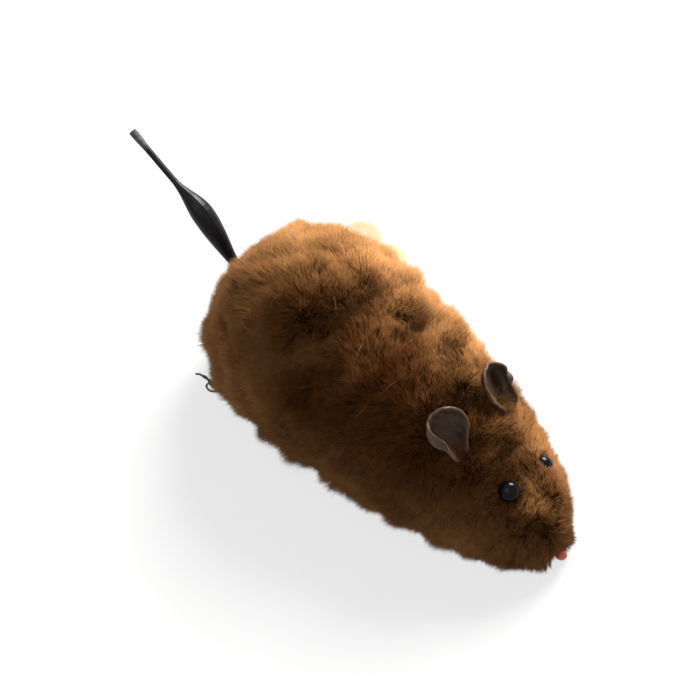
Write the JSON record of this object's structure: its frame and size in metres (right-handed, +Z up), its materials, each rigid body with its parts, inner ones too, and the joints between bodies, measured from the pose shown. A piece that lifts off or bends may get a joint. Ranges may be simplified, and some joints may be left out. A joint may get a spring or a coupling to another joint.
{
  "type": "clockwork mouse",
  "caption": "Wind-up plush mouse: furred shell on a wheeled base, spring motor with a side key, gear train to the wheels and to a spinning rubber tail.",
  "frame": {"origin": "on the floor, under the centre of the model's box", "axes": "+X towards the nose, +Y the mouse's left, where the key is, +Z up"},
  "size_m": [0.133, 0.0544, 0.0439],
  "materials": {
    "plush": "short brown pile",
    "leatherette": "smooth, slightly glossy",
    "black_bead": "polished",
    "nose_bead": "satin",
    "thread": "spun thread",
    "tail_rubber": "glossy",
    "key_plastic": "satin, faintly translucent",
    "shell_plastic": "moulded",
    "base_plastic": "fine texture",
    "tyre_rubber": "matt",
    "gear_plastic": "moulded acetal",
    "steel": "turned",
    "plate_steel": "stamped, zinc",
    "spring_steel": "blued",
    "brass": "turned"
  },
  "bodies": {
    "chassis": {"chassis_plate": "base_plastic", "body_shell": "shell_plastic", "fur_cover": "plush", "ear_left": "leatherette", "ear_right": "leatherette", "eye_left": "black_bead", "eye_right": "black_bead", "nose": "nose_bead", "thread_tuft": "thread", "body_screws": "steel", "motor_plate_left": "plate_steel", "motor_plate_right": "plate_steel", "frame_pillars": "brass", "mainspring": "spring_steel", "tail_bush": "brass", "roller_axle": "steel"},
    "great_wheel": {"great_gear": "gear_plastic", "click_spring": "spring_steel"},
    "key": {"winding_arbor": "steel", "ratchet_wheel": "brass", "key_grip": "key_plastic"},
    "second_wheel": {"second_arbor": "steel", "second_gear": "gear_plastic", "second_pinion": "brass"},
    "wheels": {"drive_axle": "steel", "drive_pinion": "brass", "wheel_left": "base_plastic", "wheel_right": "base_plastic", "tyre_left": "tyre_rubber", "tyre_right": "tyre_rubber"},
    "tail_drive": {"tail_arbor": "steel", "tail_arbor_pinion": "brass", "crown_gear": "gear_plastic"},
    "tail_spinner": {"tail_shaft": "steel", "tail_pinion": "brass", "tail": "tail_rubber"},
    "roller": {"front_roller": "base_plastic"}
  },
  "joints": [
    {"name": "wheels_turn", "type": "hinge", "parent": "chassis", "child": "wheels", "pos_m": [-0.00814, -0.0038, 0.0076], "axis": [0, 1, 0], "continuous": true},
    {"name": "second_turn", "type": "hinge", "parent": "chassis", "child": "second_wheel", "pos_m": [-0.00304, -0.0038, 0.0144], "axis": [0, 1, 0], "continuous": true},
    {"name": "great_turn", "type": "hinge", "parent": "chassis", "child": "great_wheel", "pos_m": [-0.01431, -0.0038, 0.0185], "axis": [0, 1, 0], "continuous": true},
    {"name": "tail_drive_turn", "type": "hinge", "parent": "chassis", "child": "tail_drive", "pos_m": [-0.01346, -0.0038, 0.00703], "axis": [0, 1, 0], "continuous": true},
    {"name": "tail_spin", "type": "hinge", "parent": "chassis", "child": "tail_spinner", "pos_m": [-0.01346, -0.0038, 0.00703], "axis": [-0.8387, 0, 0.5446], "continuous": true},
    {"name": "winding", "type": "hinge", "parent": "great_wheel", "child": "key", "pos_m": [-0.01431, -0.0038, 0.0185], "axis": [0, -1, 0], "range_deg": [0, 1890], "deforming": ["mainspring", "click_spring"]},
    {"name": "roller_turn", "type": "hinge", "parent": "chassis", "child": "roller", "pos_m": [0.03419, -0.0038, 0.005], "axis": [0, 1, 0], "continuous": true}
  ],
  "couplings": [
    {"joint": "second_turn", "follows": "wheels_turn", "ratio": -0.41667},
    {"joint": "great_turn", "follows": "wheels_turn", "ratio": 0.13889},
    {"joint": "tail_drive_turn", "follows": "wheels_turn", "ratio": -0.5},
    {"joint": "tail_spin", "follows": "wheels_turn", "ratio": -0.625}
  ]
}
